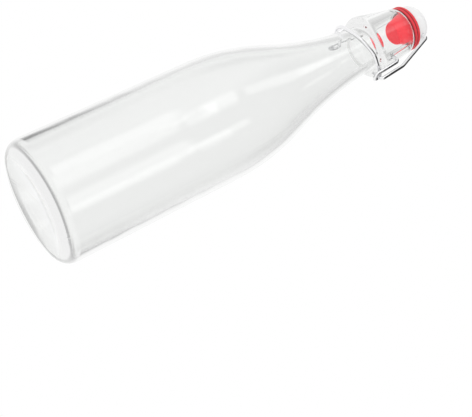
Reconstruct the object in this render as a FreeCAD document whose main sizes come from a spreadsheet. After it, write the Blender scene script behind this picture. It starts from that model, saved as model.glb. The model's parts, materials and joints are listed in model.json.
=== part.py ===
import FreeCAD, Part
import math
import os
import re
import Sketcher

# Swing top bottle: a glass bottle with a lever wire, a bail wire, a stopper and a gasket, in millimetres.
# +Z is up, the origin is the centre of the foot, the lever faces -Y and its pivots lie on X.
doc = FreeCAD.newDocument("SwingTopBottle")
sheet = doc.addObject("Spreadsheet::Sheet", "Sizes")

SIZES = {
    # Glass body
    "body_radius": 35.0,
    "heel_radius": 8.0,
    "foot_width": 2.0,
    "punt_rise": 3.0,
    "glass_wall": 3.0,
    "base_thickness": 4.5,
    "inner_heel": 4.0,
    "floor_rise": 3.0,
    "shoulder_height": 108.8,
    "shoulder_radius": 137.0,
    "shoulder_angle": 19.8,
    # Neck, collar and mouth
    "lip_height": 248.4,
    "bore_radius": 9.8,
    "neck_wall": 3.7,
    "collar_height": 31.0,
    "collar_overhang": 5.3,
    "collar_fillet": 1.9,
    "collar_round": 2.4,
    "lip_wall": 4.5,
    "lip_round": 1.9,
    "mouth_round": 1.8,
    # Wires and their running fits
    "wire_radius": 1.1,
    "running_clearance": 0.08,
    "wire_gap": 0.3,
    "bend_radius": 2.6,
    "hook_bend": 1.5,
    # Lever
    "pivot_rise": 6.0,
    "pivot_depth": 4.0,
    "arm_overhang": 3.7,
    "eye_drop": 15.4,
    "eye_back": 4.2,
    "eye_flat": 0.13,
    "lever_drop": 18.0,
    "front_gap": 0.2,
    "front_flat": 2.4,
    # Bail
    "cross_rise": 2.85,
    "bail_overhang": 3.3,
    "knee_rise": 0.9,
    "knee_bend": 7.8,
    # Gasket
    "seat_gap": 0.5,
    "gasket_inset": 0.6,
    "gasket_height": 4.5,
    "bead_groove": 0.7,
    "plug_clearance": 0.9,
    "plug_end_radius": 6.9,
    "plug_length": 9.5,
    "plug_round": 1.2,
    # Stopper
    "cap_radius": 12.0,
    "cap_skirt": 3.4,
    "cap_corner": 7.5,
    "crown_angle": 50.0,
    "cap_edge": 0.6,
    "stem_radius": 3.5,
    "stem_head_radius": 5.0,
    "stem_head_height": 2.5,
    "stem_length": 11.5,
    "stem_clearance": 0.1,
}
for row, (alias, number) in enumerate(SIZES.items(), start=1):
    sheet.set(f"A{row}", alias)
    sheet.set(f"B{row}", str(number))
    sheet.setAlias(f"B{row}", alias)
doc.recompute()


def bound(text):
    """The expression with each size read from the sheet."""
    return re.sub(r"[a-z]+(?:_[a-z]+)+", lambda word: f"{sheet.Name}.{word.group()}", text)


def value(text):
    """The expression's value now."""
    return float(sheet.evalExpression(bound(text)))


def new_sketch(body, name, plane):
    """A sketch on one of the body's own origin planes."""
    sketch = body.newObject("Sketcher::SketchObject", name)
    support = next(item for item in body.Origin.OriginFeatures if item.Role == plane)
    sketch.AttachmentSupport = [(support, "")]
    sketch.MapMode = "FlatFace"
    return sketch


def place(sketch, edge, end, across, up):
    """Binds an end of an edge to its two coordinates."""
    for kind, axis, text in (("DistanceX", -2, across), ("DistanceY", -1, up)):
        if text == "0":
            sketch.addConstraint(Sketcher.Constraint("PointOnObject", edge, end, axis))
        else:
            index = sketch.addConstraint(Sketcher.Constraint(kind, -1, 1, edge, end, value(text)))
            sketch.setExpression(f"Constraints[{index}]", bound(text))


def arc_through(start, end, radius, side):
    """The minor arc between two points, its centre to the left (1) or right (-1) of the way along."""
    chord = end - start
    left = FreeCAD.Vector(-chord.y, chord.x, 0).normalize() * side
    depth = math.sqrt(max(radius ** 2 - (chord.Length / 2) ** 2, 0.0))
    centre = (start + end) * 0.5 + left * depth
    return Part.Arc(start, centre - left * radius, end)


def draw_outline(sketch, corners):
    """A closed outline. A corner is (across, up) after a line, or (across, up, radius, side) after an arc."""
    points = [FreeCAD.Vector(value(corner[0]), value(corner[1]), 0) for corner in corners]
    last = len(corners) - 1
    for index, corner in enumerate(corners):
        start, end = points[index - 1], points[index]
        if len(corner) == 2:
            sketch.addGeometry(Part.LineSegment(start, end))
            continue
        radius, side = corner[2:]
        sketch.addGeometry(arc_through(start, end, value(radius), side))
    for index, corner in enumerate(corners):
        # An arc runs anticlockwise in the sketch, so a clockwise one has its ends the other way about
        first, final = (1, 2) if len(corner) == 2 or corner[3] == 1 else (2, 1)
        after = corners[(index + 1) % len(corners)]
        after_first = 1 if len(after) == 2 or after[3] == 1 else 2
        joined = index + 1 if index < last else 0
        sketch.addConstraint(Sketcher.Constraint("Coincident", index, final, joined, after_first))
        place(sketch, index, final, corner[0], corner[1])
        if len(corner) == 4:
            index_radius = sketch.addConstraint(Sketcher.Constraint("Radius", index, value(corner[2])))
            sketch.setExpression(f"Constraints[{index_radius}]", bound(corner[2]))


def turned_body(label, corners):
    """A body turned about Z from its half outline."""
    body = doc.addObject("PartDesign::Body", label)
    body.Label = label
    sketch = new_sketch(body, f"{label}_outline", "XZ_Plane")
    draw_outline(sketch, corners)
    turning = body.newObject("PartDesign::Revolution", f"{label}_turned")
    turning.Profile = sketch
    turning.ReferenceAxis = (sketch, ["V_Axis"])
    turning.Angle = 360
    doc.recompute()
    return body


neck_top = "(lip_height - collar_height)"
wall_top = f"({neck_top} - shoulder_height)"
neck_radius = "(bore_radius + neck_wall)"
collar_radius = f"({neck_radius} + collar_overhang)"
collar_widest = f"({neck_top} + collar_fillet + collar_round)"
lip_radius = "(bore_radius + lip_wall)"


def shoulder(wall, neck):
    """Shoulder corners from the straight wall up to the neck, for a face set in by a wall."""
    convex = f"(shoulder_radius - {wall})"
    steepest = (
        f"(body_radius - shoulder_radius + {convex} * cos(shoulder_angle))",
        f"({wall_top} + {convex} * sin(shoulder_angle))",
    )
    # The second arc leaves the first along its steepest slope and ends at the neck
    across = f"({neck} - {steepest[0]})"
    up = f"({neck_top} - {steepest[1]})"
    lean = f"({across} * cos(shoulder_angle) + {up} * sin(shoulder_angle))"
    return {
        "wall": (f"body_radius - {wall}", wall_top),
        "steepest": steepest,
        "neck": (neck, neck_top),
        "convex": convex,
        "concave": f"(({across}^2 + {up}^2) / (2 * {lean}))",
    }


def neck_outside(height):
    """Radius of the glass at a height on the upper arc of the shoulder."""
    centre_across = f"({outside['steepest'][0]} + {outside['concave']} * cos(shoulder_angle))"
    centre_up = f"({outside['steepest'][1]} + {outside['concave']} * sin(shoulder_angle))"
    return f"({centre_across} - sqrt({outside['concave']}^2 - ({height} - {centre_up})^2))"


# Bottle: one moulded piece of clear glass, hollow, with a thick collar at the mouth
outside = shoulder("0", neck_radius)
inside = shoulder("glass_wall", "bore_radius")
foot_inner = "(body_radius - heel_radius - foot_width)"
punt_radius = f"({foot_inner}^2 + punt_rise^2) / (2 * punt_rise)"
inner_floor = "(punt_rise + base_thickness)"
inner_radius = "(body_radius - glass_wall)"
floor_edge = f"({inner_floor} - floor_rise)"
dome_radius = f"(({inner_radius} - inner_heel)^2 + floor_rise^2) / (2 * floor_rise)"
collar_start = (f"{neck_radius} + collar_fillet", f"{neck_top} + collar_fillet")
bottle = turned_body("bottle", [
    ("0", "punt_rise"),
    (foot_inner, "0", punt_radius, -1),
    ("body_radius - heel_radius", "0"),
    ("body_radius", "heel_radius", "heel_radius", 1),
    outside["wall"],
    (*outside["steepest"], outside["convex"], 1),
    (*outside["neck"], outside["concave"], -1),
    (*collar_start, "collar_fillet", -1),
    (f"{collar_radius} - collar_round", f"{neck_top} + collar_fillet"),
    (collar_radius, collar_widest, "collar_round", 1),
    (lip_radius, "lip_height - lip_round"),
    (f"{lip_radius} - lip_round", "lip_height", "lip_round", 1),
    ("bore_radius + mouth_round", "lip_height"),
    ("bore_radius", "lip_height - mouth_round", "mouth_round", 1),
    inside["neck"],
    (*inside["steepest"], inside["concave"], 1),
    (*inside["wall"], inside["convex"], -1),
    (inner_radius, f"{floor_edge} + inner_heel"),
    (f"{inner_radius} - inner_heel", floor_edge, "inner_heel", -1),
    ("0", inner_floor, dome_radius, 1),
])

# Two blind pits in the collar, one the mirror of the other, hold the lever's ends
wire_hole = "(wire_radius + running_clearance)"
collar_slope = f"({collar_radius} - {lip_radius}) / (lip_height - lip_round - {collar_widest})"
collar_at_pivot = f"({collar_radius} - pivot_rise * {collar_slope})"
pivot_height = f"({collar_widest} + pivot_rise)"
pit_mouth = f"({collar_radius} + wire_radius)"
pit_floor = f"({collar_at_pivot} - pivot_depth - wire_gap)"
pit_sketch = new_sketch(bottle, "pit_outline", "XZ_Plane")
draw_outline(pit_sketch, [
    (pit_floor, pivot_height),
    (pit_floor, f"{pivot_height} + {wire_hole}"),
    (pit_mouth, f"{pivot_height} + {wire_hole}"),
    (pit_mouth, pivot_height),
])
glass_before = bottle.Shape.Volume
pit = bottle.newObject("PartDesign::Groove", "pit")
pit.Profile = pit_sketch
pit.ReferenceAxis = (pit_sketch, ["Edge1"])
pit.Angle = 360
doc.recompute()
pit_mirror = bottle.newObject("PartDesign::Mirrored", "pit_mirror")
pit_mirror.Originals = [pit]
pit_mirror.MirrorPlane = (next(p for p in bottle.Origin.OriginFeatures if p.Role == "YZ_Plane"), [""])
bottle.Tip = pit_mirror
doc.recompute()


def rounded_path(points, radii):
    """Straight runs through the points, with a tangent arc of the given radius at each inner point."""
    edges = []
    start = points[0]
    for before, corner, after, radius in zip(points, points[1:], points[2:], radii):
        back = (before - corner).normalize()
        ahead = (after - corner).normalize()
        half = back.getAngle(ahead) / 2
        reach = radius / math.tan(half)
        arc_start, arc_end = corner + back * reach, corner + ahead * reach
        middle = corner + (back + ahead).normalize() * (radius / math.sin(half) - radius)
        edges.append(Part.LineSegment(start, arc_start).toShape())
        edges.append(Part.Arc(arc_start, middle, arc_end).toShape())
        start = arc_end
    edges.append(Part.LineSegment(start, points[-1]).toShape())
    return Part.Wire(edges)


def bent_wire(label, corners, bends):
    """A round wire along the corners of one side, then the same corners on the other side, back to front."""
    volume_share = 0.005
    points = [FreeCAD.Vector(*(value(text) for text in corner)) for corner in corners]
    radii = [value(bend) for bend in bends]
    other_side = [FreeCAD.Vector(-point.x, point.y, point.z) for point in reversed(points)]
    path = doc.addObject("Part::Feature", f"{label}_path")
    path.Shape = rounded_path(points + other_side, radii + radii[::-1])
    section = doc.addObject("Part::Circle", f"{label}_section")
    section.setExpression("Radius", bound("wire_radius"))
    facing = FreeCAD.Rotation(FreeCAD.Vector(0, 0, 1), points[1] - points[0])
    section.Placement = FreeCAD.Placement(points[0], facing)
    wire = doc.addObject("Part::Sweep", label)
    wire.Label = label
    wire.Sections = [section]
    wire.Spine = (path, [f"Edge{number + 1}" for number in range(len(path.Shape.Edges))])
    wire.Solid = True
    doc.recompute()
    expected = math.pi * value("wire_radius") ** 2 * path.Shape.Length
    if not math.isclose(wire.Shape.Volume, expected, rel_tol=volume_share):
        raise RuntimeError(f"{label}: {wire.Shape.Volume:.1f} mm3 where its length gives {expected:.1f} mm3")
    return wire


# Lever: its ends sit in the pits, each arm ends in an eye, and the wire goes round the front of the neck.
# The eye turns about the hook of the bail, and the wire leaves it one wire's width nearer the neck.
arm_reach = f"({collar_radius} + arm_overhang)"
eye_radius = "(2 * wire_radius + running_clearance)"
eye_height = f"({pivot_height} - eye_drop)"
eye_low = f"{eye_height} - {eye_radius}"
eye_far = f"eye_back + {eye_radius}"
eye_bend = f"{eye_radius} - eye_flat"
inner_reach = f"({arm_reach} - {eye_radius})"
front_height = f"({pivot_height} - lever_drop)"
front_reach = f"({neck_outside(f'({front_height} - wire_radius)')} + wire_radius + front_gap)"
front_bend = f"{front_reach} - front_flat"
lever = bent_wire("lever", [
    (f"{collar_at_pivot} - pivot_depth", "0", pivot_height),
    (arm_reach, "0", pivot_height),
    (arm_reach, f"eye_back - {eye_radius}", eye_low),
    (f"({arm_reach} + {inner_reach}) / 2", eye_far, eye_low),
    (inner_reach, eye_far, f"{eye_height} + 2 * wire_radius + hook_bend"),
    (f"{neck_radius} + 3 * wire_radius", f"-{front_reach} / 2", f"{eye_height} + wire_radius"),
    (f"{front_reach} / 2", f"-{front_reach}", front_height),
], ["bend_radius", eye_bend, eye_bend, eye_bend, front_bend, front_bend])

# Bail: a flat bow through the stopper's cross hole, which clears the lever's arms and hooks into the eyes
gasket_top = "(lip_height + seat_gap + gasket_height)"
cross_height = f"({gasket_top} + cross_rise)"
hook_reach = f"{arm_reach} + wire_radius + hook_bend + wire_gap"
knee_reach = f"{arm_reach} + 2 * wire_radius + wire_gap"
knee_height = f"({pivot_height} + knee_rise)"
knee_back = f"eye_back * ({cross_height} - {knee_height}) / ({cross_height} - {eye_height})"
bail = bent_wire("bail", [
    (f"{inner_reach} - 2 * wire_radius", "eye_back", eye_height),
    (hook_reach, "eye_back", eye_height),
    (knee_reach, knee_back, knee_height),
    ("cap_radius + bail_overhang", "0", cross_height),
], ["hook_bend", "knee_bend", "bend_radius"])

# Gasket: a soft boot whose flange seats on the lip and whose tapered plug hangs in the bore
seat = "(lip_height + seat_gap)"
plug_end = "(lip_height + seat_gap - plug_length)"
bead_waist = f"({lip_radius} - gasket_inset - bead_groove)"
bead_radius = "((gasket_height / 4)^2 + bead_groove^2) / (2 * bead_groove)"
stem_hole = "(stem_radius + stem_clearance)"
head_hole = "(stem_head_radius + stem_clearance)"
head_low = f"({gasket_top} - stem_length - stem_clearance)"
head_high = f"({gasket_top} - stem_length + stem_head_height + stem_clearance)"
gasket = turned_body("gasket", [
    ("0", plug_end),
    ("plug_end_radius - plug_round", plug_end),
    ("plug_end_radius", f"{plug_end} + plug_round", "plug_round", 1),
    ("bore_radius - plug_clearance", seat),
    (bead_waist, seat),
    (bead_waist, f"{seat} + gasket_height / 2", bead_radius, 1),
    (bead_waist, gasket_top, bead_radius, 1),
    (stem_hole, gasket_top),
    (stem_hole, head_high),
    (head_hole, head_high),
    (head_hole, head_low),
    ("0", head_low),
])

# Stopper: a domed cap with a cross hole and a stem whose head buttons into the gasket
skirt_top = f"({gasket_top} + cap_skirt)"
corner_centre = "(cap_radius - cap_corner)"
crown_radius = f"(cap_corner + {corner_centre} / cos(crown_angle))"
crown_top = f"({skirt_top} - {corner_centre} * tan(crown_angle) + {crown_radius})"
crown_edge = (
    f"{corner_centre} + cap_corner * cos(crown_angle)",
    f"{skirt_top} + cap_corner * sin(crown_angle)",
)
stem_end = f"({gasket_top} - stem_length)"
stopper = turned_body("stopper", [
    ("0", stem_end),
    ("stem_head_radius", stem_end),
    ("stem_head_radius", f"{stem_end} + stem_head_height"),
    ("stem_radius", f"{stem_end} + stem_head_height"),
    ("stem_radius", gasket_top),
    ("cap_radius - cap_edge", gasket_top),
    ("cap_radius", f"{gasket_top} + cap_edge", "cap_edge", 1),
    ("cap_radius", skirt_top),
    (*crown_edge, "cap_corner", 1),
    ("0", crown_top, crown_radius, 1),
])
cross_sketch = new_sketch(stopper, "cross_outline", "YZ_Plane")
cross_centre = FreeCAD.Vector(0, value(cross_height), 0)
cross_sketch.addGeometry(Part.Circle(cross_centre, FreeCAD.Vector(0, 0, 1), value(wire_hole)))
place(cross_sketch, 0, 3, "0", cross_height)
cross_size = cross_sketch.addConstraint(Sketcher.Constraint("Radius", 0, value(wire_hole)))
cross_sketch.setExpression(f"Constraints[{cross_size}]", bound(wire_hole))
cap_before = stopper.Shape.Volume
cross_hole = stopper.newObject("PartDesign::Pocket", "cross_hole")
cross_hole.Profile = cross_sketch
cross_hole.Type = "ThroughAll"
cross_hole.Midplane = True
doc.recompute()

hole_section = math.pi * value(wire_hole) ** 2
if glass_before - bottle.Shape.Volume < 2 * hole_section * value("pivot_depth"):
    raise RuntimeError("the pits cut too little")
if cap_before - stopper.Shape.Volume < hole_section * value("cap_radius"):
    raise RuntimeError("the cross hole cuts too little")
for item in doc.Objects:
    if "Invalid" in item.State or "Error" in item.State:
        raise RuntimeError(f"{item.Label}: {item.State}")
pieces = [bottle, lever, bail, stopper, gasket]
for piece in pieces:
    if piece.Shape.isNull() or not piece.Shape.isValid() or len(piece.Shape.Solids) != 1:
        raise RuntimeError(f"{piece.Label} is not one valid solid")
os.makedirs("parts", exist_ok=True)
for piece in pieces:
    piece.Shape.exportStep(f"parts/{piece.Label}.step")
    print(f"{piece.Label}: {piece.Shape.Volume / 1000:.2f} cm3, {piece.Shape.BoundBox}")
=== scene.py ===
import json
import math

import bpy
from mathutils import Matrix, Vector


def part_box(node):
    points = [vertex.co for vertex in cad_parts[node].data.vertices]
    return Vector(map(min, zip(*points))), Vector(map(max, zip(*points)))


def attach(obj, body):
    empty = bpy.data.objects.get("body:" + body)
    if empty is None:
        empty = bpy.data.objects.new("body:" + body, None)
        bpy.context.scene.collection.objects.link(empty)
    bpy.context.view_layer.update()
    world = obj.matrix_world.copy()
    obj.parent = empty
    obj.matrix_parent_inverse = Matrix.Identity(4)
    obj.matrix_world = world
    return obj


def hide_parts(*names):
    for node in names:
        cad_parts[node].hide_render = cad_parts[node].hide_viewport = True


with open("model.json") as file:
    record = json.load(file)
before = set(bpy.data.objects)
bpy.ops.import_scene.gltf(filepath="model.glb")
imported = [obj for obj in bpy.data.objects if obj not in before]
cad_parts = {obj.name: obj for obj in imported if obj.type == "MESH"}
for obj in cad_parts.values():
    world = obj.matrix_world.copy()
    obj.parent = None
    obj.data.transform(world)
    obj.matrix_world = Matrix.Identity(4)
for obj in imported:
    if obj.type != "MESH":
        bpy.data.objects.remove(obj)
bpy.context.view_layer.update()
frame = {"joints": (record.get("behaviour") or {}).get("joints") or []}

# Bottle: clear soda-lime glass blown in a two-part mould, with a thick base and a thick collar at the mouth.
# The moulded skin is slightly wavy, and a faint seam runs up each side where the mould's halves met.
# It stands on a narrow foot ring, and two blind pits in the collar take the ends of the lever.
body_radius = 0.035
body_wall = 0.003
heel_radius = 0.008
foot_width = 0.002
foot_inner = body_radius - heel_radius - foot_width
punt_rise = 0.003
punt_radius = (foot_inner ** 2 + punt_rise ** 2) / (2 * punt_rise)
base_thickness = 0.0045
inner_floor = punt_rise + base_thickness
inner_heel = 0.004
inner_dome_rise = 0.003
lip_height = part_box("bottle")[1].z
collar_height = 0.031
neck_top = lip_height - collar_height
shoulder_height = 0.1088
shoulder_radius = 0.137
shoulder_slope = math.radians(19.8)
wall_top = neck_top - shoulder_height
bore_radius = 0.0098
neck_wall = 0.0037
neck_radius = bore_radius + neck_wall
collar_fillet = 0.0019
collar_round = 0.0024
collar_overhang = 0.0053
collar_radius = neck_radius + collar_overhang
collar_widest = neck_top + collar_fillet + collar_round
lip_wall = 0.0045
lip_radius = bore_radius + lip_wall
lip_round = 0.0019
mouth_round = 0.0018
wire_radius = 0.0011
wire_play = 0.00008
wire_hole = wire_radius + wire_play
joint_place = {joint["name"]: Vector(joint["pos_m"]) for joint in frame["joints"]}
pivot = joint_place["lever_swing"]
collar_slope = (collar_radius - lip_radius) / (lip_height - lip_round - collar_widest)
collar_at_pivot = collar_radius - (pivot.z - collar_widest) * collar_slope
pit_depth = 0.0043
pit_floor = collar_at_pivot - pit_depth
crease = math.radians(40)


def shoulder(wall, neck):
    """Corners from the straight wall over the shoulder to the neck, for a face set in by a wall."""
    lean, rise = math.cos(shoulder_slope), math.sin(shoulder_slope)
    convex = shoulder_radius - wall
    steepest = Vector((body_radius - shoulder_radius + convex * lean, wall_top + convex * rise))
    step = Vector((neck, neck_top)) - steepest
    concave = step.length_squared / (2 * (step.x * lean + step.y * rise))
    return (body_radius - wall, wall_top), (*steepest, convex), (neck, neck_top, concave)


def traced(corners, turn=math.radians(3)):
    """Points of an outline whose corners are (across, up), or (across, up, radius, side) after an arc."""
    points = [Vector(corners[0][:2])]
    for corner in corners[1:]:
        start, end = points[-1], Vector(corner[:2])
        if len(corner) == 4:
            radius, side = corner[2:]
            chord = end - start
            left = Vector((-chord.y, chord.x)).normalized() * side
            centre = (start + end) / 2 + left * math.sqrt(max(radius ** 2 - chord.length_squared / 4, 0))
            sweep = 2 * math.asin(min(chord.length / (2 * radius), 1)) * side
            count = max(2, math.ceil(abs(sweep) / turn))
            spoke = start - centre
            for index in range(1, count):
                points.append(centre + Matrix.Rotation(sweep * index / count, 2) @ spoke)
        points.append(end)
    return points


def started_tree(name, sockets):
    """A geometry tree with named inputs and a geometry output, and the node of its inputs."""
    tree = bpy.data.node_groups.new(name, "GeometryNodeTree")
    for socket, kind in sockets.items():
        tree.interface.new_socket(socket, in_out="INPUT", socket_type="NodeSocket" + kind)
    tree.interface.new_socket("Geometry", in_out="OUTPUT", socket_type="NodeSocketGeometry")
    return tree, tree.nodes.new("NodeGroupInput")


def ended_tree(tree, given, made):
    """Last nodes of a tree: smooth faces, creased at sharp edges, made real and given their material."""
    nodes, links = tree.nodes, tree.links
    smooth = nodes.new("GeometryNodeSetShadeSmooth")
    links.new(made, smooth.inputs["Geometry"])
    bend = nodes.new("GeometryNodeInputMeshEdgeAngle")
    sharp = nodes.new("FunctionNodeCompare")
    sharp.operation = "GREATER_THAN"
    links.new(bend.outputs["Unsigned Angle"], sharp.inputs[0])
    links.new(given.outputs["Crease"], sharp.inputs[1])
    creased = nodes.new("GeometryNodeSetShadeSmooth")
    creased.domain = "EDGE"
    creased.inputs["Shade Smooth"].default_value = False
    links.new(smooth.outputs[0], creased.inputs["Geometry"])
    links.new(sharp.outputs[0], creased.inputs["Selection"])
    real = nodes.new("GeometryNodeRealizeInstances")
    links.new(creased.outputs[0], real.inputs[0])
    painted = nodes.new("GeometryNodeSetMaterial")
    links.new(real.outputs[0], painted.inputs["Geometry"])
    links.new(given.outputs["Material"], painted.inputs["Material"])
    result = nodes.new("NodeGroupOutput")
    links.new(painted.outputs[0], result.inputs["Geometry"])
    return tree


def turned_tree():
    """Nodes that turn an outline of points (radius, height) about Z into a smooth mesh."""
    sockets = {
        "Outline": "Geometry",
        "Sides": "Int",
        "Crease": "Float",
        "Material": "Material",
    }
    tree, given = started_tree("turned", sockets)
    nodes, links = tree.nodes, tree.links
    count = nodes.new("GeometryNodeAttributeDomainSize")
    links.new(given.outputs["Outline"], count.inputs["Geometry"])
    columns = nodes.new("FunctionNodeIntegerMath")
    columns.inputs[1].default_value = 1
    links.new(given.outputs["Sides"], columns.inputs[0])
    grid = nodes.new("GeometryNodeMeshGrid")
    links.new(count.outputs["Point Count"], grid.inputs["Vertices X"])
    links.new(columns.outputs[0], grid.inputs["Vertices Y"])
    index = nodes.new("GeometryNodeInputIndex")
    row = nodes.new("FunctionNodeIntegerMath")
    row.operation = "DIVIDE_FLOOR"
    column = nodes.new("FunctionNodeIntegerMath")
    column.operation = "MODULO"
    for node in (row, column):
        links.new(index.outputs[0], node.inputs[0])
        links.new(columns.outputs[0], node.inputs[1])
    place = nodes.new("GeometryNodeInputPosition")
    sample = nodes.new("GeometryNodeSampleIndex")
    sample.data_type = "FLOAT_VECTOR"
    links.new(given.outputs["Outline"], sample.inputs["Geometry"])
    links.new(place.outputs[0], sample.inputs["Value"])
    links.new(row.outputs[0], sample.inputs["Index"])
    point = nodes.new("ShaderNodeSeparateXYZ")
    links.new(sample.outputs["Value"], point.inputs[0])
    share = nodes.new("ShaderNodeMath")
    share.operation = "DIVIDE"
    links.new(column.outputs[0], share.inputs[0])
    links.new(given.outputs["Sides"], share.inputs[1])
    angle = nodes.new("ShaderNodeMath")
    angle.operation = "MULTIPLY"
    angle.inputs[1].default_value = 2 * math.pi
    links.new(share.outputs[0], angle.inputs[0])
    turned = nodes.new("ShaderNodeCombineXYZ")
    for axis, operation in (("X", "COSINE"), ("Y", "SINE")):
        wave = nodes.new("ShaderNodeMath")
        wave.operation = operation
        links.new(angle.outputs[0], wave.inputs[0])
        across = nodes.new("ShaderNodeMath")
        across.operation = "MULTIPLY"
        links.new(point.outputs["X"], across.inputs[0])
        links.new(wave.outputs[0], across.inputs[1])
        links.new(across.outputs[0], turned.inputs[axis])
    links.new(point.outputs["Y"], turned.inputs["Z"])
    wrapped = nodes.new("GeometryNodeSetPosition")
    links.new(grid.outputs["Mesh"], wrapped.inputs["Geometry"])
    links.new(turned.outputs[0], wrapped.inputs["Position"])
    merged = nodes.new("GeometryNodeMergeByDistance")
    merged.inputs["Distance"].default_value = 1e-7
    links.new(wrapped.outputs[0], merged.inputs["Geometry"])
    return ended_tree(tree, given, merged.outputs[0])


def settle(piece):
    """Keeps the mesh that the modifiers give, and removes them."""
    made = piece.evaluated_get(bpy.context.evaluated_depsgraph_get())
    mesh = bpy.data.meshes.new_from_object(made)
    mesh.name = piece.name
    piece.modifiers.clear()
    piece.data = mesh


def grown(name, points, tree, inputs):
    """A mesh piece that a node tree grows from a line of points."""
    mesh = bpy.data.meshes.new(name)
    steps = [(i, i + 1) for i in range(len(points) - 1)]
    mesh.from_pydata([point.to_3d() for point in points], steps, [])
    piece = bpy.data.objects.new(name, mesh)
    bpy.context.scene.collection.objects.link(piece)
    modifier = piece.modifiers.new("grow", "NODES")
    modifier.node_group = tree
    for item in tree.interface.items_tree:
        if item.item_type == "SOCKET" and item.in_out == "INPUT" and item.name in inputs:
            modifier[item.identifier] = inputs[item.name]
    settle(piece)
    return piece


def drilled(piece, radius, start, end):
    """Cuts a round hole from start to end."""
    sides = 48
    turn = (end - start).normalized().to_track_quat("Z", "Y").to_matrix()
    ring = []
    for index in range(sides):
        angle = 2 * math.pi * index / sides
        ring.append(turn @ Vector((math.cos(angle), math.sin(angle), 0)) * radius)
    points = [start + spoke for spoke in ring] + [end + spoke for spoke in ring]
    walls = [(i, (i + 1) % sides, sides + (i + 1) % sides, sides + i) for i in range(sides)]
    caps = [tuple(reversed(range(sides))), tuple(range(sides, 2 * sides))]
    hole = bpy.data.meshes.new("hole")
    hole.from_pydata(points, [], walls + caps)
    cutter = bpy.data.objects.new("hole", hole)
    bpy.context.scene.collection.objects.link(cutter)
    cut = piece.modifiers.new("cut", "BOOLEAN")
    cut.operation = "DIFFERENCE"
    cut.solver = "EXACT"
    cut.object = cutter
    settle(piece)
    bpy.data.objects.remove(cutter)
    bpy.data.meshes.remove(hole)


def paled(material, turns, level):
    """Light that was mirrored more than so many times before it comes here ends as plain pale light, a
    painted glow of the surface.
    """
    nodes, links = material.node_tree.nodes, material.node_tree.links
    path = nodes.new("ShaderNodeLightPath")
    spent = nodes.new("ShaderNodeMath")
    spent.operation = "GREATER_THAN"
    spent.inputs[1].default_value = turns + 0.5
    links.new(path.outputs["Glossy Depth"], spent.inputs[0])
    plain = nodes.new("ShaderNodeEmission")
    plain.inputs["Strength"].default_value = level
    shown = nodes.new("ShaderNodeMixShader")
    links.new(spent.outputs[0], shown.inputs["Fac"])
    links.new(nodes["Principled BSDF"].outputs[0], shown.inputs[1])
    links.new(plain.outputs[0], shown.inputs[2])
    links.new(shown.outputs[0], nodes["Material Output"].inputs["Surface"])


glass = bpy.data.materials.new("clear_glass")
glass.use_nodes = True
nodes, links = glass.node_tree.nodes, glass.node_tree.links
shader = nodes["Principled BSDF"]
shader.inputs["Base Color"].default_value = (0.955, 0.96, 0.955, 1.0)
shader.inputs["Transmission Weight"].default_value = 1.0
shader.inputs["IOR"].default_value = 1.5
shader.inputs["Roughness"].default_value = 0.0
place = nodes.new("ShaderNodeTexCoord")
waves = nodes.new("ShaderNodeTexNoise")
waves.inputs["Scale"].default_value = 55.0
waves.inputs["Detail"].default_value = 1.0
links.new(place.outputs["Object"], waves.inputs["Vector"])
across = nodes.new("ShaderNodeSeparateXYZ")
links.new(place.outputs["Object"], across.inputs[0])
off_seam = nodes.new("ShaderNodeMath")
off_seam.operation = "ABSOLUTE"
links.new(across.outputs["Y"], off_seam.inputs[0])
seam = nodes.new("ShaderNodeMapRange")
seam.interpolation_type = "SMOOTHSTEP"
seam.inputs["From Max"].default_value = 0.0004
seam.inputs["To Min"].default_value = 0.2
seam.inputs["To Max"].default_value = 0.0
links.new(off_seam.outputs[0], seam.inputs["Value"])
moulded = nodes.new("ShaderNodeMath")
links.new(waves.outputs["Fac"], moulded.inputs[0])
links.new(seam.outputs[0], moulded.inputs[1])
wavy = nodes.new("ShaderNodeBump")
wavy.inputs["Strength"].default_value = 0.35
wavy.inputs["Distance"].default_value = 0.0004
links.new(moulded.outputs[0], wavy.inputs["Height"])
links.new(wavy.outputs["Normal"], shader.inputs["Normal"])
# Light that keeps turning inside the thick collar and base doesn't end dark, but as a painted pale glow of
# the glass
paled(glass, turns=2, level=0.88)

outer_wall, outer_steepest, outer_neck = shoulder(0, neck_radius)
inner_wall, inner_steepest, inner_neck = shoulder(body_wall, bore_radius)
dome_reach = inner_wall[0] - inner_heel
dome_edge = inner_floor - inner_dome_rise
dome_radius = (dome_reach ** 2 + inner_dome_rise ** 2) / (2 * inner_dome_rise)
bottle_outline = traced([
    (0, punt_rise),
    (foot_inner, 0, punt_radius, -1),
    (body_radius - heel_radius, 0),
    (body_radius, heel_radius, heel_radius, 1),
    outer_wall,
    (*outer_steepest, 1),
    (*outer_neck, -1),
    (neck_radius + collar_fillet, neck_top + collar_fillet, collar_fillet, -1),
    (collar_radius - collar_round, neck_top + collar_fillet),
    (collar_radius, collar_widest, collar_round, 1),
    (lip_radius, lip_height - lip_round),
    (lip_radius - lip_round, lip_height, lip_round, 1),
    (bore_radius + mouth_round, lip_height),
    (bore_radius, lip_height - mouth_round, mouth_round, 1),
    inner_neck[:2],
    (*inner_steepest[:2], inner_neck[2], 1),
    (*inner_wall, inner_steepest[2], -1),
    (inner_wall[0], dome_edge + inner_heel),
    (dome_reach, dome_edge, inner_heel, -1),
    (0, inner_floor, dome_radius, 1),
])
turning = turned_tree()
bottle = grown("bottle_glass", bottle_outline, turning, {
    "Sides": 192,
    "Crease": crease,
    "Material": glass,
})
for side in (1, -1):
    pit_end = Vector((side * pit_floor, 0, pivot.z))
    pit_mouth = Vector((side * (collar_radius + wire_radius), 0, pivot.z))
    drilled(bottle, wire_hole, pit_mouth, pit_end)
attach(bottle, "bottle")
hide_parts("bottle")

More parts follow.
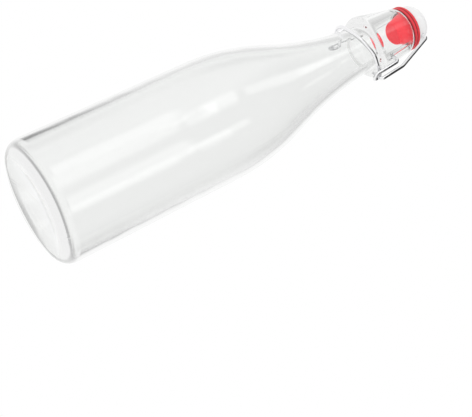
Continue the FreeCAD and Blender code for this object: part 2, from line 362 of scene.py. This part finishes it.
# Lever: one length of hard drawn steel wire, bright plated, bent the same on both sides.
# Its ends spring into the collar's pits, each arm ends in an eye, and it goes round the front of the neck.
eye = joint_place["bail_swing"]
pin_depth = 0.004
arm_gap = 0.0037
arm_reach = collar_radius + arm_gap
arm_bend = 0.0026
eye_radius = 2 * wire_radius + wire_play
eye_slack = 0.00013
eye_bend = eye_radius - eye_slack
inner_reach = arm_reach - eye_radius
hook_bend = 0.0015
front_drop = 0.018
front_height = pivot.z - front_drop
front_gap = 0.0002
front_straight = 0.0024


def neck_outside(height):
    """Radius of the glass at a height on the upper arc of the shoulder."""
    reach = outer_neck[2]
    centre_across = outer_steepest[0] + reach * math.cos(shoulder_slope)
    centre_up = outer_steepest[1] + reach * math.sin(shoulder_slope)
    return centre_across - math.sqrt(reach ** 2 - (height - centre_up) ** 2)


def rounded_path(corners, bends, turn=math.radians(6)):
    """Points of straight runs with a tangent arc at each inner corner, mirrored to the other side."""
    points = [Vector(corner) for corner in corners]
    points += [Vector((-point.x, point.y, point.z)) for point in reversed(points)]
    path = [points[0]]
    for before, corner, after, bend in zip(points, points[1:], points[2:], bends + bends[::-1]):
        back, ahead = (before - corner).normalized(), (after - corner).normalized()
        half = back.angle(ahead) / 2
        centre = corner + (back + ahead).normalized() * (bend / math.sin(half))
        spoke = corner + back * (bend / math.tan(half)) - centre
        normal = ahead.cross(back)
        sweep = math.pi - 2 * half
        count = max(3, math.ceil(sweep / turn))
        for index in range(count + 1):
            path.append(centre + Matrix.Rotation(sweep * index / count, 3, normal) @ spoke)
    return path + [points[-1]]


def drawn_tree():
    """Nodes that sweep a round wire along a path, and mark how far along and where around each point lies."""
    sockets = {
        "Path": "Geometry",
        "Radius": "Float",
        "Sides": "Int",
        "Crease": "Float",
        "Material": "Material",
    }
    tree, given = started_tree("drawn_wire", sockets)
    nodes, links = tree.nodes, tree.links
    curve = nodes.new("GeometryNodeMeshToCurve")
    links.new(given.outputs["Path"], curve.inputs["Mesh"])
    run = nodes.new("GeometryNodeSplineParameter")
    marked = nodes.new("GeometryNodeStoreNamedAttribute")
    marked.inputs["Name"].default_value = "along"
    links.new(curve.outputs[0], marked.inputs["Geometry"])
    links.new(run.outputs["Length"], marked.inputs["Value"])
    section = nodes.new("GeometryNodeCurvePrimitiveCircle")
    links.new(given.outputs["Sides"], section.inputs["Resolution"])
    links.new(given.outputs["Radius"], section.inputs["Radius"])
    spot = nodes.new("GeometryNodeInputPosition")
    around = nodes.new("GeometryNodeStoreNamedAttribute")
    around.data_type = "FLOAT_VECTOR"
    around.inputs["Name"].default_value = "around"
    links.new(section.outputs[0], around.inputs["Geometry"])
    links.new(spot.outputs[0], around.inputs["Value"])
    swept = nodes.new("GeometryNodeCurveToMesh")
    swept.inputs["Fill Caps"].default_value = True
    links.new(marked.outputs[0], swept.inputs["Curve"])
    links.new(around.outputs[0], swept.inputs["Profile Curve"])
    return ended_tree(tree, given, swept.outputs[0])


steel = bpy.data.materials.new("plated_wire")
steel.use_nodes = True
nodes, links = steel.node_tree.nodes, steel.node_tree.links
shader = nodes["Principled BSDF"]
shader.inputs["Metallic"].default_value = 1.0
shader.inputs["Base Color"].default_value = (0.88, 0.88, 0.89, 1.0)
along = nodes.new("ShaderNodeAttribute")
along.attribute_name = "along"
around = nodes.new("ShaderNodeAttribute")
around.attribute_name = "around"
flat_around = nodes.new("ShaderNodeVectorMath")
flat_around.operation = "MULTIPLY"
flat_around.inputs[1].default_value = (1.0, 1.0, 0.0)
links.new(around.outputs["Vector"], flat_around.inputs[0])
run = nodes.new("ShaderNodeCombineXYZ")
links.new(along.outputs["Fac"], run.inputs["Z"])
drawn_out = nodes.new("ShaderNodeVectorMath")
drawn_out.operation = "SCALE"
drawn_out.inputs["Scale"].default_value = 0.05
links.new(run.outputs[0], drawn_out.inputs[0])
grain_place = nodes.new("ShaderNodeVectorMath")
links.new(flat_around.outputs[0], grain_place.inputs[0])
links.new(drawn_out.outputs[0], grain_place.inputs[1])
grain = nodes.new("ShaderNodeTexNoise")
grain.inputs["Scale"].default_value = 2500.0
grain.inputs["Detail"].default_value = 2.0
links.new(grain_place.outputs[0], grain.inputs["Vector"])
polish = nodes.new("ShaderNodeMapRange")
polish.inputs["To Min"].default_value = 0.06
polish.inputs["To Max"].default_value = 0.14
links.new(grain.outputs["Fac"], polish.inputs["Value"])
links.new(polish.outputs[0], shader.inputs["Roughness"])

front_reach = neck_outside(front_height - wire_radius) + wire_radius + front_gap
front_bend = front_reach - front_straight
eye_low = eye.z - eye_radius
eye_far = eye.y + eye_radius
# From the pin in its pit down the arm, round the eye and on to the front of the neck
lever_path = rounded_path([
    (collar_at_pivot - pin_depth, 0, pivot.z),
    (arm_reach, 0, pivot.z),
    (arm_reach, eye.y - eye_radius, eye_low),
    ((arm_reach + inner_reach) / 2, eye_far, eye_low),
    (inner_reach, eye_far, eye.z + 2 * wire_radius + hook_bend),
    (neck_radius + 3 * wire_radius, -front_reach / 2, eye.z + wire_radius),
    (front_reach / 2, -front_reach, front_height),
], [arm_bend, eye_bend, eye_bend, eye_bend, front_bend, front_bend])
drawing = drawn_tree()
wire_inputs = {"Radius": wire_radius, "Sides": 32, "Crease": crease, "Material": steel}
lever = grown("lever_wire", lever_path, drawing, wire_inputs)
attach(lever, "lever")
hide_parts("lever")

# Bail: a second length of the same wire, bent into a flat bow.
# It runs through the stopper's cross hole, spreads past the collar and hooks inward through the lever's eyes.
cross = joint_place["stopper_swing"]
cap_radius = 0.012
side_gap = 0.0003
hook_reach = arm_reach + wire_radius + hook_bend + side_gap
knee_reach = arm_reach + 2 * wire_radius + side_gap
knee_rise = 0.0009
knee = pivot.z + knee_rise
knee_back = eye.y * (cross.z - knee) / (cross.z - eye.z)
knee_bend = 0.0078
top_overhang = 0.0033
top_bend = 0.0026
bail_path = rounded_path([
    (inner_reach - 2 * wire_radius, eye.y, eye.z),
    (hook_reach, eye.y, eye.z),
    (knee_reach, knee_back, knee),
    (cap_radius + top_overhang, 0, cross.z),
], [hook_bend, knee_bend, top_bend])
bail = grown("bail_wire", bail_path, drawing, wire_inputs)
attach(bail, "bail")
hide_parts("bail")

# Stopper: a domed cap of glossy white plastic with a cross hole for the bail.
# A stem below it ends in a head that is buttoned into the gasket.
gasket_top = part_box("gasket")[1].z
skirt_height = 0.0034
skirt_top = gasket_top + skirt_height
cap_edge = 0.0006
cap_corner = 0.0075
crown_angle = math.radians(50)
corner_centre = cap_radius - cap_corner
crown_start = Vector((corner_centre, skirt_top)) + Matrix.Rotation(crown_angle, 2) @ Vector((cap_corner, 0))
crown_radius = cap_corner + corner_centre / math.cos(crown_angle)
crown_top = skirt_top - corner_centre * math.tan(crown_angle) + crown_radius
stem_radius = 0.0035
stem_length = 0.0115
stem_end = gasket_top - stem_length
head_radius = 0.005
head_height = 0.0025


def mottled_group():
    """Shader nodes that vary the roughness of a moulded surface in fine soft patches."""
    group = bpy.data.node_groups.new("mottled_sheen", "ShaderNodeTree")
    for name in ("Scale", "Detail", "Smoothest", "Roughest"):
        group.interface.new_socket(name, in_out="INPUT", socket_type="NodeSocketFloat")
    group.interface.new_socket("Roughness", in_out="OUTPUT", socket_type="NodeSocketFloat")
    nodes, links = group.nodes, group.links
    given = nodes.new("NodeGroupInput")
    place = nodes.new("ShaderNodeTexCoord")
    patches = nodes.new("ShaderNodeTexNoise")
    links.new(place.outputs["Object"], patches.inputs["Vector"])
    links.new(given.outputs["Scale"], patches.inputs["Scale"])
    links.new(given.outputs["Detail"], patches.inputs["Detail"])
    sheen = nodes.new("ShaderNodeMapRange")
    links.new(patches.outputs["Fac"], sheen.inputs["Value"])
    links.new(given.outputs["Smoothest"], sheen.inputs["To Min"])
    links.new(given.outputs["Roughest"], sheen.inputs["To Max"])
    result = nodes.new("NodeGroupOutput")
    links.new(sheen.outputs[0], result.inputs["Roughness"])
    return group


plastic = bpy.data.materials.new("white_plastic")
plastic.use_nodes = True
nodes, links = plastic.node_tree.nodes, plastic.node_tree.links
shader = nodes["Principled BSDF"]
shader.inputs["Base Color"].default_value = (0.92, 0.92, 0.92, 1.0)
mottling = mottled_group()
handled = nodes.new("ShaderNodeGroup")
handled.node_tree = mottling
handled.inputs["Scale"].default_value = 260.0
handled.inputs["Detail"].default_value = 3.0
handled.inputs["Smoothest"].default_value = 0.16
handled.inputs["Roughest"].default_value = 0.3
links.new(handled.outputs["Roughness"], shader.inputs["Roughness"])

stopper_outline = traced([
    (0, stem_end),
    (head_radius, stem_end),
    (head_radius, stem_end + head_height),
    (stem_radius, stem_end + head_height),
    (stem_radius, gasket_top),
    (cap_radius - cap_edge, gasket_top),
    (cap_radius, gasket_top + cap_edge, cap_edge, 1),
    (cap_radius, skirt_top),
    (*crown_start, cap_corner, 1),
    (0, crown_top, crown_radius, 1),
])
stopper = grown("stopper_cap", stopper_outline, turning, {
    "Sides": 160,
    "Crease": crease,
    "Material": plastic,
})
cross_reach = Vector((cap_radius + wire_radius, 0, 0))
drilled(stopper, wire_hole, cross + cross_reach, cross - cross_reach)
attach(stopper, "stopper")
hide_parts("stopper")

# Gasket: a moulded boot of soft red rubber, buttoned over the stopper's stem.
# Two round beads seat on the lip, and a tapered plug hangs in the bore.
gasket_height = 0.0045
ring_inset = 0.0006
bead_half = gasket_height / 4
bead_groove = 0.0007
bead_waist = lip_radius - ring_inset - bead_groove
bead_radius = (bead_half ** 2 + bead_groove ** 2) / (2 * bead_groove)
seat = gasket_top - gasket_height
plug_length = 0.0095
plug_end = seat - plug_length
plug_end_radius = 0.0069
plug_round = 0.0012
plug_gap = 0.0009
stem_play = 0.0001
stem_hole = stem_radius + stem_play
head_hole = head_radius + stem_play
pocket_top = stem_end + head_height + stem_play
pocket_floor = stem_end - stem_play

rubber = bpy.data.materials.new("red_rubber")
rubber.use_nodes = True
nodes, links = rubber.node_tree.nodes, rubber.node_tree.links
shader = nodes["Principled BSDF"]
matt = nodes.new("ShaderNodeGroup")
matt.node_tree = mottling
matt.inputs["Scale"].default_value = 420.0
matt.inputs["Detail"].default_value = 4.0
matt.inputs["Smoothest"].default_value = 0.35
matt.inputs["Roughest"].default_value = 0.55
links.new(matt.outputs["Roughness"], shader.inputs["Roughness"])
# Painted shade darkens the rubber's colour in the grooves beside the beads, and a painted glow in the plug
# stands in for light that shines through the neck and through the plug
place = nodes.new("ShaderNodeTexCoord")
height = nodes.new("ShaderNodeSeparateXYZ")
links.new(place.outputs["Object"], height.inputs[0])
above_seat = nodes.new("ShaderNodeMath")
above_seat.operation = "SUBTRACT"
above_seat.inputs[1].default_value = seat
links.new(height.outputs["Z"], above_seat.inputs[0])
plug = nodes.new("ShaderNodeMapRange")
plug.inputs["From Min"].default_value = -0.0002
plug.inputs["From Max"].default_value = -0.0012
links.new(above_seat.outputs[0], plug.inputs["Value"])
crest = nodes.new("ShaderNodeMath")
crest.operation = "PINGPONG"
crest.inputs[1].default_value = bead_half
links.new(above_seat.outputs[0], crest.inputs[0])
opened = nodes.new("ShaderNodeMapRange")
opened.interpolation_type = "SMOOTHSTEP"
opened.inputs["From Max"].default_value = bead_half * 2 / 3
links.new(crest.outputs[0], opened.inputs["Value"])
painted_lit_mask = nodes.new("ShaderNodeMath")
painted_lit_mask.operation = "MAXIMUM"
links.new(opened.outputs[0], painted_lit_mask.inputs[0])
links.new(plug.outputs[0], painted_lit_mask.inputs[1])
# Painted shade: dark red where the lit mask is low, at the seat, between the beads and at the top; full red
# on the bead crests and the plug
red_with_painted_shade = nodes.new("ShaderNodeMix")
red_with_painted_shade.data_type = "RGBA"
red_with_painted_shade.inputs["A"].default_value = (0.3, 0.006, 0.012, 1.0)
red_with_painted_shade.inputs["B"].default_value = (0.85, 0.035, 0.05, 1.0)
links.new(painted_lit_mask.outputs[0], red_with_painted_shade.inputs["Factor"])
links.new(red_with_painted_shade.outputs["Result"], shader.inputs["Base Color"])
# Painted glow: the plug's emission stands in for light that shines through the glass neck onto it
painted_glow = nodes.new("ShaderNodeMix")
painted_glow.data_type = "RGBA"
painted_glow.inputs["A"].default_value = (0.0, 0.0, 0.0, 1.0)
painted_glow.inputs["B"].default_value = (0.38, 0.01, 0.018, 1.0)
links.new(plug.outputs[0], painted_glow.inputs["Factor"])
links.new(painted_glow.outputs["Result"], shader.inputs["Emission Color"])
shader.inputs["Emission Strength"].default_value = 1.0
# Glass and wire mirror only a painted pale glow from the rubber, in place of its red
paled(rubber, turns=0, level=0.86)

gasket_outline = traced([
    (0, plug_end),
    (plug_end_radius - plug_round, plug_end),
    (plug_end_radius, plug_end + plug_round, plug_round, 1),
    (bore_radius - plug_gap, seat),
    (bead_waist, seat),
    (bead_waist, seat + gasket_height / 2, bead_radius, 1),
    (bead_waist, gasket_top, bead_radius, 1),
    (stem_hole, gasket_top),
    (stem_hole, pocket_top),
    (head_hole, pocket_top),
    (head_hole, pocket_floor),
    (0, pocket_floor),
])
gasket = grown("gasket_boot", gasket_outline, turning, {
    "Sides": 160,
    "Crease": crease,
    "Material": rubber,
})
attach(gasket, "stopper")
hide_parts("gasket")

# Stage: a wide pale floor just under the foot, which fades out far away and has a painted pool of light under
# the glass, standing in for the light that the bottle gathers there.
# For a camera below it, as in the photograph, it isn't there.
floor_half = 3.0
floor_height = -0.0003
corners = [(-1, -1), (1, -1), (1, 1), (-1, 1)]
floor_mesh = bpy.data.meshes.new("floor")
floor_points = [(floor_half * x, floor_half * y, floor_height) for x, y in corners]
floor_mesh.from_pydata(floor_points, [], [(0, 1, 2, 3)])
floor = bpy.data.objects.new("floor", floor_mesh)
bpy.context.scene.collection.objects.link(floor)
pale = bpy.data.materials.new("pale_floor")
pale.use_nodes = True
nodes, links = pale.node_tree.nodes, pale.node_tree.links
shader = nodes["Principled BSDF"]
shader.inputs["Base Color"].default_value = (0.9, 0.9, 0.9, 1.0)
shader.inputs["Roughness"].default_value = 0.9
shader.inputs["Specular IOR Level"].default_value = 0.0
side = nodes.new("ShaderNodeNewGeometry")
path = nodes.new("ShaderNodeLightPath")
from_below = nodes.new("ShaderNodeMath")
from_below.operation = "MAXIMUM"
links.new(side.outputs["Backfacing"], from_below.inputs[0])
links.new(path.outputs["Transparent Depth"], from_below.inputs[1])
place = nodes.new("ShaderNodeTexCoord")
away = nodes.new("ShaderNodeVectorMath")
away.operation = "LENGTH"
links.new(place.outputs["Object"], away.inputs[0])
# Painted pool of light: emission on the floor under the glass, fading out at the heel
painted_light_pool = nodes.new("ShaderNodeMapRange")
painted_light_pool.interpolation_type = "SMOOTHSTEP"
painted_light_pool.inputs["From Min"].default_value = body_radius - heel_radius
painted_light_pool.inputs["From Max"].default_value = body_radius
painted_light_pool.inputs["To Min"].default_value = 0.4
painted_light_pool.inputs["To Max"].default_value = 0.0
links.new(away.outputs["Value"], painted_light_pool.inputs["Value"])
links.new(painted_light_pool.outputs[0], shader.inputs["Emission Color"])
shader.inputs["Emission Strength"].default_value = 1.0
faded = nodes.new("ShaderNodeMapRange")
faded.interpolation_type = "SMOOTHSTEP"
faded.inputs["From Min"].default_value = 0.4
faded.inputs["From Max"].default_value = floor_half
links.new(away.outputs["Value"], faded.inputs["Value"])
absent = nodes.new("ShaderNodeMath")
absent.operation = "MAXIMUM"
absent.use_clamp = True
links.new(from_below.outputs[0], absent.inputs[0])
links.new(faded.outputs[0], absent.inputs[1])
gone = nodes.new("ShaderNodeBsdfTransparent")
seen = nodes.new("ShaderNodeMixShader")
links.new(absent.outputs[0], seen.inputs["Fac"])
links.new(shader.outputs[0], seen.inputs[1])
links.new(gone.outputs[0], seen.inputs[2])
links.new(seen.outputs[0], nodes["Material Output"].inputs["Surface"])
floor_mesh.materials.append(pale)

# Camera: stands where the photograph was taken from, below the foot of the bottle, and looks up along it.
# Its place, its turn and its lens were fitted to the bottle's outline in the photograph.
camera_place = Vector((0.37473, -0.35859, -0.12959))
bearing = math.radians(130.886)
tilt = math.radians(23.871)
roll = math.radians(62.127)
level_ahead = Vector((math.cos(bearing), math.sin(bearing), 0))
level_right = Vector((math.sin(bearing), -math.cos(bearing), 0))
ahead = level_ahead * math.cos(tilt) + Vector((0, 0, math.sin(tilt)))
upright = level_right.cross(ahead)
right = level_right * math.cos(roll) + upright * math.sin(roll)
up = upright * math.cos(roll) - level_right * math.sin(roll)
lens = bpy.data.cameras.new("camera")
lens.lens = 79.24
lens.sensor_width = 36.0
lens.sensor_fit = "HORIZONTAL"
lens.clip_start = 0.01
camera = bpy.data.objects.new("camera", lens)
bpy.context.scene.collection.objects.link(camera)
camera.matrix_world = Matrix.Translation(camera_place) @ Matrix((right, up, -ahead)).transposed().to_4x4()
bpy.context.scene.camera = camera
bpy.context.scene.view_settings.view_transform = "Standard"

# World: an evenly lit white studio, plain white to the camera itself.
# For the camera below the floor, what shines through the glass is white behind it and greyer beside it.
# What metal and glass mirror is white too, except for a dark end above the mouth.
world = bpy.data.worlds.new("studio")
bpy.context.scene.world = world
world.use_nodes = True
nodes, links = world.node_tree.nodes, world.node_tree.links
path = nodes.new("ShaderNodeLightPath")
way = nodes.new("ShaderNodeTexCoord")
rise = nodes.new("ShaderNodeSeparateXYZ")
links.new(way.outputs["Generated"], rise.inputs[0])
flat = nodes.new("ShaderNodeVectorMath")
flat.operation = "MULTIPLY"
flat.inputs[1].default_value = (1.0, 1.0, 0.0)
links.new(way.outputs["Generated"], flat.inputs[0])
level_way = nodes.new("ShaderNodeVectorMath")
level_way.operation = "NORMALIZE"
links.new(flat.outputs[0], level_way.inputs[0])
facing = nodes.new("ShaderNodeVectorMath")
facing.operation = "DOT_PRODUCT"
facing.inputs[1].default_value = level_ahead
links.new(level_way.outputs[0], facing.inputs[0])
# Grey levels of the walls beside the bottle, by height, and of the sweep below its level
beside = nodes.new("ShaderNodeValToRGB")
beside.color_ramp.interpolation = "EASE"
beside.color_ramp.elements.remove(beside.color_ramp.elements[1])
side_levels = ((0.06, 0.7), (0.17, 0.08), (0.22, 0.08), (0.42, 0.74))
for index, (level_up, grey) in enumerate(side_levels):
    stop = beside.color_ramp.elements.new(level_up) if index else beside.color_ramp.elements[0]
    stop.position = level_up
    stop.color = (grey, grey, grey, 1.0)
links.new(rise.outputs["Z"], beside.inputs["Fac"])
below = nodes.new("ShaderNodeMapRange")
below.interpolation_type = "SMOOTHSTEP"
below.inputs["From Min"].default_value = -0.4
below.inputs["From Max"].default_value = 0.05
below.inputs["To Min"].default_value = 0.45
below.inputs["To Max"].default_value = 1.0
links.new(rise.outputs["Z"], below.inputs["Value"])
sweep = nodes.new("ShaderNodeMapRange")
sweep.interpolation_type = "SMOOTHSTEP"
sweep.inputs["From Min"].default_value = 0.72
sweep.inputs["From Max"].default_value = 0.93
links.new(facing.outputs["Value"], sweep.inputs["Value"])
links.new(beside.outputs["Color"], sweep.inputs["To Min"])
links.new(below.outputs[0], sweep.inputs["To Max"])
round_back = nodes.new("ShaderNodeMapRange")
round_back.interpolation_type = "SMOOTHSTEP"
round_back.inputs["From Min"].default_value = 0.3
round_back.inputs["From Max"].default_value = 0.6
round_back.inputs["To Min"].default_value = 0.64
links.new(facing.outputs["Value"], round_back.inputs["Value"])
links.new(sweep.outputs[0], round_back.inputs["To Max"])
from_below = nodes.new("ShaderNodeMath")
from_below.operation = "MINIMUM"
from_below.inputs[1].default_value = 1.0
links.new(path.outputs["Transparent Depth"], from_below.inputs[0])
behind = nodes.new("ShaderNodeMix")
behind.inputs["A"].default_value = 0.95
links.new(from_below.outputs[0], behind.inputs["Factor"])
links.new(round_back.outputs[0], behind.inputs["B"])
# The dark end that is mirrored, on the camera's right where the mouth points
past_mouth = nodes.new("ShaderNodeVectorMath")
past_mouth.operation = "DOT_PRODUCT"
past_mouth.inputs[1].default_value = right
links.new(way.outputs["Generated"], past_mouth.inputs[0])
dark_end = nodes.new("ShaderNodeMapRange")
dark_end.interpolation_type = "SMOOTHSTEP"
dark_end.inputs["From Min"].default_value = 0.4
dark_end.inputs["From Max"].default_value = 0.7
dark_end.inputs["To Min"].default_value = 1.0
dark_end.inputs["To Max"].default_value = 0.03
links.new(past_mouth.outputs["Value"], dark_end.inputs["Value"])
shown = nodes.new("ShaderNodeMix")
links.new(path.outputs["Is Transmission Ray"], shown.inputs["Factor"])
links.new(dark_end.outputs[0], shown.inputs["A"])
links.new(behind.outputs["Result"], shown.inputs["B"])
# Rays that were scattered get even light, and a little more of it through the glass
sharp_ray = nodes.new("ShaderNodeMath")
sharp_ray.operation = "MAXIMUM"
links.new(path.outputs["Is Glossy Ray"], sharp_ray.inputs[0])
links.new(path.outputs["Is Transmission Ray"], sharp_ray.inputs[1])
direct = nodes.new("ShaderNodeMath")
direct.operation = "SUBTRACT"
direct.use_clamp = True
links.new(sharp_ray.outputs[0], direct.inputs[0])
links.new(path.outputs["Diffuse Depth"], direct.inputs[1])
even = nodes.new("ShaderNodeMath")
even.operation = "MULTIPLY_ADD"
even.inputs[1].default_value = 0.4
even.inputs[2].default_value = 0.9
links.new(path.outputs["Is Transmission Ray"], even.inputs[0])
studio = nodes.new("ShaderNodeMix")
links.new(direct.outputs[0], studio.inputs["Factor"])
links.new(even.outputs[0], studio.inputs["A"])
links.new(shown.outputs["Result"], studio.inputs["B"])
level = nodes.new("ShaderNodeMath")
level.operation = "MAXIMUM"
links.new(studio.outputs["Result"], level.inputs[0])
links.new(path.outputs["Is Camera Ray"], level.inputs[1])
background = nodes["Background"]
background.inputs["Color"].default_value = (1.0, 1.0, 1.0, 1.0)
links.new(level.outputs[0], background.inputs["Strength"])

# Lamps: five soft boxes on one side of the bottle, each a flat panel that grows dim towards its edges.
# Their mirror images are the long soft streaks on the body and the shoulder.
lamp_distance = 1.3
lamp_target = Vector((0, 0, lip_height / 2))


def softbox(name, azimuth, elevation, width, height, watts):
    """A soft lamp aimed at the middle of the bottle."""
    turn, rise = math.radians(azimuth), math.radians(elevation)
    way = Vector((math.cos(rise) * math.cos(turn), math.cos(rise) * math.sin(turn), math.sin(rise)))
    lamp = bpy.data.lights.new(name, "AREA")
    lamp.shape = "RECTANGLE"
    lamp.size = width
    lamp.size_y = height
    lamp.energy = watts
    lamp.use_nodes = True
    nodes, links = lamp.node_tree.nodes, lamp.node_tree.links
    spot = nodes.new("ShaderNodeNewGeometry")
    middle = nodes.new("ShaderNodeVectorMath")
    middle.operation = "SUBTRACT"
    middle.inputs[1].default_value = (0.5, 0.5, 0.0)
    links.new(spot.outputs["Parametric"], middle.inputs[0])
    out = nodes.new("ShaderNodeVectorMath")
    out.operation = "ABSOLUTE"
    links.new(middle.outputs[0], out.inputs[0])
    fade = nodes.new("ShaderNodeMapRange")
    fade.data_type = "FLOAT_VECTOR"
    fade.interpolation_type = "SMOOTHSTEP"
    fade_start, fade_end, at_start, at_end = fade.inputs[7:11]
    fade_start.default_value = (0.15, 0.36, 0.0)
    fade_end.default_value = (0.5, 0.5, 1.0)
    at_start.default_value = (1.0, 1.0, 1.0)
    at_end.default_value = (0.0, 0.0, 0.0)
    links.new(out.outputs[0], fade.inputs["Vector"])
    sides = nodes.new("ShaderNodeSeparateXYZ")
    links.new(fade.outputs["Vector"], sides.inputs[0])
    strength = nodes.new("ShaderNodeMath")
    strength.operation = "MULTIPLY"
    links.new(sides.outputs["X"], strength.inputs[0])
    links.new(sides.outputs["Y"], strength.inputs[1])
    links.new(strength.outputs[0], nodes["Emission"].inputs["Strength"])
    box = bpy.data.objects.new(name, lamp)
    bpy.context.scene.collection.objects.link(box)
    box.location = lamp_target + way * lamp_distance
    box.rotation_euler = way.to_track_quat("Z", "Y").to_euler()
    box.visible_camera = False


softbox("strip_left_low", azimuth=-83, elevation=14.4, width=0.55, height=0.37, watts=0.6)
softbox("strip_left_high", azimuth=-66, elevation=27.1, width=0.68, height=0.17, watts=0.4)
softbox("strip_right_low", azimuth=-21, elevation=14.5, width=0.92, height=0.37, watts=1.08)
softbox("strip_right_high", azimuth=-15, elevation=25.7, width=0.36, height=0.28, watts=0.3)
softbox("strip_top", azimuth=-66, elevation=52, width=0.5, height=0.9, watts=1.3)
